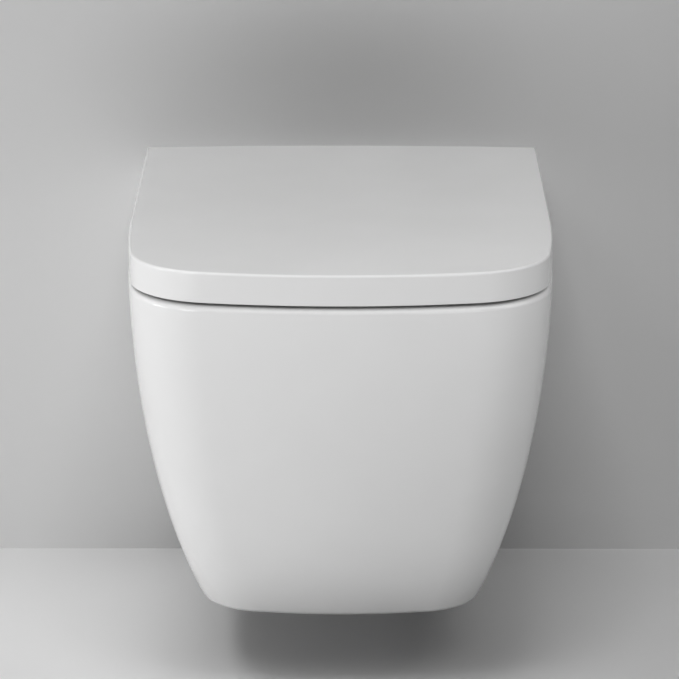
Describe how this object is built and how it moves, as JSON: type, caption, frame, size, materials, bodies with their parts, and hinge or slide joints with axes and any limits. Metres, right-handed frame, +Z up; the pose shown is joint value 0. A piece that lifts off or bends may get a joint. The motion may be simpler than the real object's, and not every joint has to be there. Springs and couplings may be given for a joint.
{
  "type": "wall hung toilet",
  "caption": "Wall-hung rimless toilet pan with a skirted, tapering body, soft-close seat and deep wrap-over lid, for a concealed cistern frame.",
  "frame": {"origin": "on the wall plane, midway between the two wall fixings", "axes": "+Z up, +Y into the wall, the pan reaches out towards -Y, and X is left to right seen from the front"},
  "size_m": [0.3718, 0.54, 0.3747],
  "materials": {
    "glazed_china": "glossy white glaze",
    "white_seat_resin": "polished white urea resin",
    "white_plastic": "moulded, satin",
    "grey_plastic": "moulded glass-filled nylon",
    "stainless": "brushed",
    "chrome": "polished",
    "zinc_steel": "zinc plated",
    "brass": "turned brass",
    "black_rubber": "moulded",
    "grey_rubber": "moulded, translucent grey"
  },
  "bodies": {
    "pan_body": {"pan_skirt": "glazed_china", "pan_rim": "glazed_china", "pan_bowl": "glazed_china", "pan_trap": "glazed_china", "pan_inlet": "glazed_china", "pan_horn": "glazed_china", "flush_distributor": "white_plastic", "side_cap_left": "white_plastic", "side_cap_right": "white_plastic", "hinge_post_left": "stainless", "hinge_post_right": "stainless", "lid_pivot_pin": "stainless", "seat_pivot_pin": "stainless", "seat_damper_shaft": "stainless", "lid_damper_shaft": "stainless", "hinge_rosette_left": "chrome", "hinge_rosette_right": "chrome", "fixing_block_left": "zinc_steel", "fixing_block_right": "zinc_steel", "clamp_screws": "zinc_steel", "hinge_bolts": "zinc_steel", "plug_nuts": "brass", "inlet_seal": "black_rubber", "expansion_plugs": "black_rubber"},
    "seat_body": {"seat": "white_seat_resin", "seat_buffers": "grey_rubber", "seat_hinge_left": "grey_plastic", "seat_hinge_right": "grey_plastic", "seat_hinge_screws": "zinc_steel", "seat_damper": "grey_plastic"},
    "lid_body": {"lid": "white_seat_resin", "lid_buffers": "grey_rubber", "lid_hinge_left": "grey_plastic", "lid_hinge_right": "grey_plastic", "lid_hinge_screws": "zinc_steel", "lid_damper": "grey_plastic"}
  },
  "joints": [
    {"name": "seat_hinge", "type": "hinge", "parent": "pan_body", "child": "seat_body", "pos_m": [0, -0.062, 0.102], "axis": [-1, 0, 0], "range_deg": [0, 94]},
    {"name": "lid_hinge", "type": "hinge", "parent": "seat_body", "child": "lid_body", "pos_m": [0, -0.062, 0.102], "axis": [-1, 0, 0], "range_deg": [0, 96]}
  ]
}
